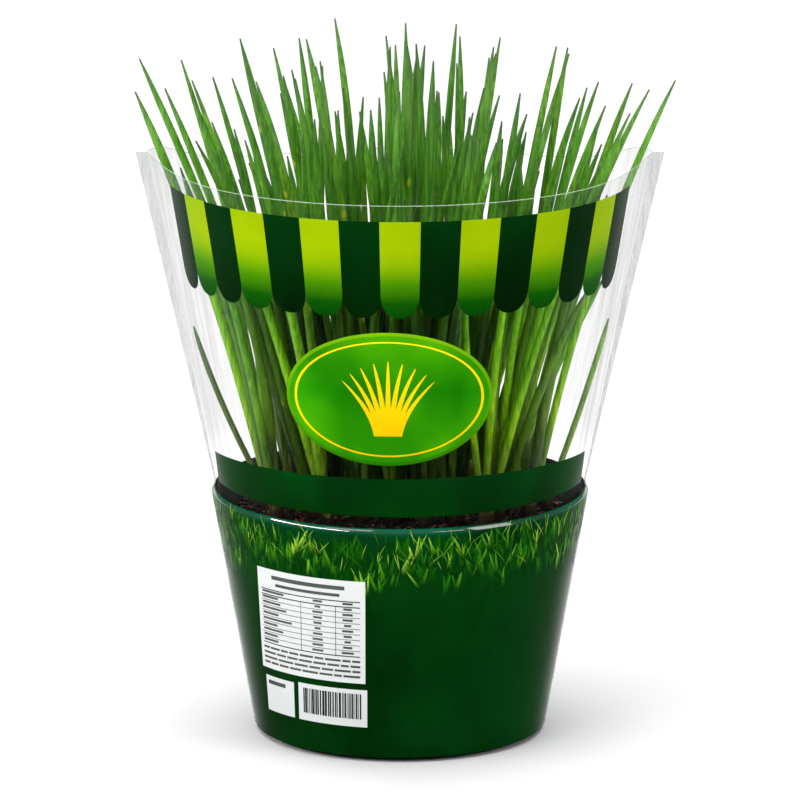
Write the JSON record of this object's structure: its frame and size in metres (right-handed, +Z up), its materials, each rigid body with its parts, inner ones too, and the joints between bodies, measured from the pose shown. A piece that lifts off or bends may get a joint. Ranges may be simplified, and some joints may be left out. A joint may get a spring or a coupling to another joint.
{
  "type": "potted chive plant",
  "caption": "Bunches of round, pointed chive leaves growing in a black nursery pot, wrapped in a tapered, printed clear film sleeve.",
  "frame": {"origin": "middle of the pot's underside, on the surface it stands on", "axes": "+Z up along the pot's axis; the front of the sleeve, with its printed panel, faces -Y; the weld seams lie at +X and -X"},
  "size_m": [0.2061, 0.1973, 0.2678],
  "materials": {
    "pot_plastic": "black, satin, thin moulded plastic",
    "potting_soil": "dark, damp, crumbly, with bits of bark and root",
    "printed_film": "clear glossy film, printed in greens",
    "chive_leaf": "waxy green leaf, paler at its foot"
  },
  "bodies": {
    "root": {"chive_clump_01": "chive_leaf", "chive_clump_02": "chive_leaf", "chive_clump_03": "chive_leaf", "chive_clump_04": "chive_leaf", "chive_clump_05": "chive_leaf", "chive_clump_06": "chive_leaf", "chive_clump_07": "chive_leaf", "chive_clump_08": "chive_leaf", "chive_clump_09": "chive_leaf", "chive_clump_10": "chive_leaf", "chive_clump_11": "chive_leaf", "chive_clump_12": "chive_leaf", "chive_clump_13": "chive_leaf", "chive_clump_14": "chive_leaf", "chive_clump_15": "chive_leaf", "chive_clump_16": "chive_leaf", "chive_clump_17": "chive_leaf", "chive_clump_18": "chive_leaf", "chive_clump_19": "chive_leaf", "chive_clump_20": "chive_leaf", "chive_clump_21": "chive_leaf", "chive_clump_22": "chive_leaf", "chive_clump_23": "chive_leaf", "chive_clump_24": "chive_leaf", "chive_clump_25": "chive_leaf", "chive_clump_26": "chive_leaf", "chive_clump_27": "chive_leaf", "chive_clump_28": "chive_leaf", "chive_clump_29": "chive_leaf", "chive_clump_30": "chive_leaf", "chive_clump_31": "chive_leaf", "chive_clump_32": "chive_leaf", "chive_clump_33": "chive_leaf", "chive_clump_34": "chive_leaf", "chive_clump_35": "chive_leaf", "chive_clump_36": "chive_leaf", "chive_clump_37": "chive_leaf", "chive_clump_38": "chive_leaf", "chive_clump_39": "chive_leaf", "nursery_pot": "pot_plastic", "potting_soil": "potting_soil", "printed_sleeve": "printed_film"}
  },
  "joints": []
}
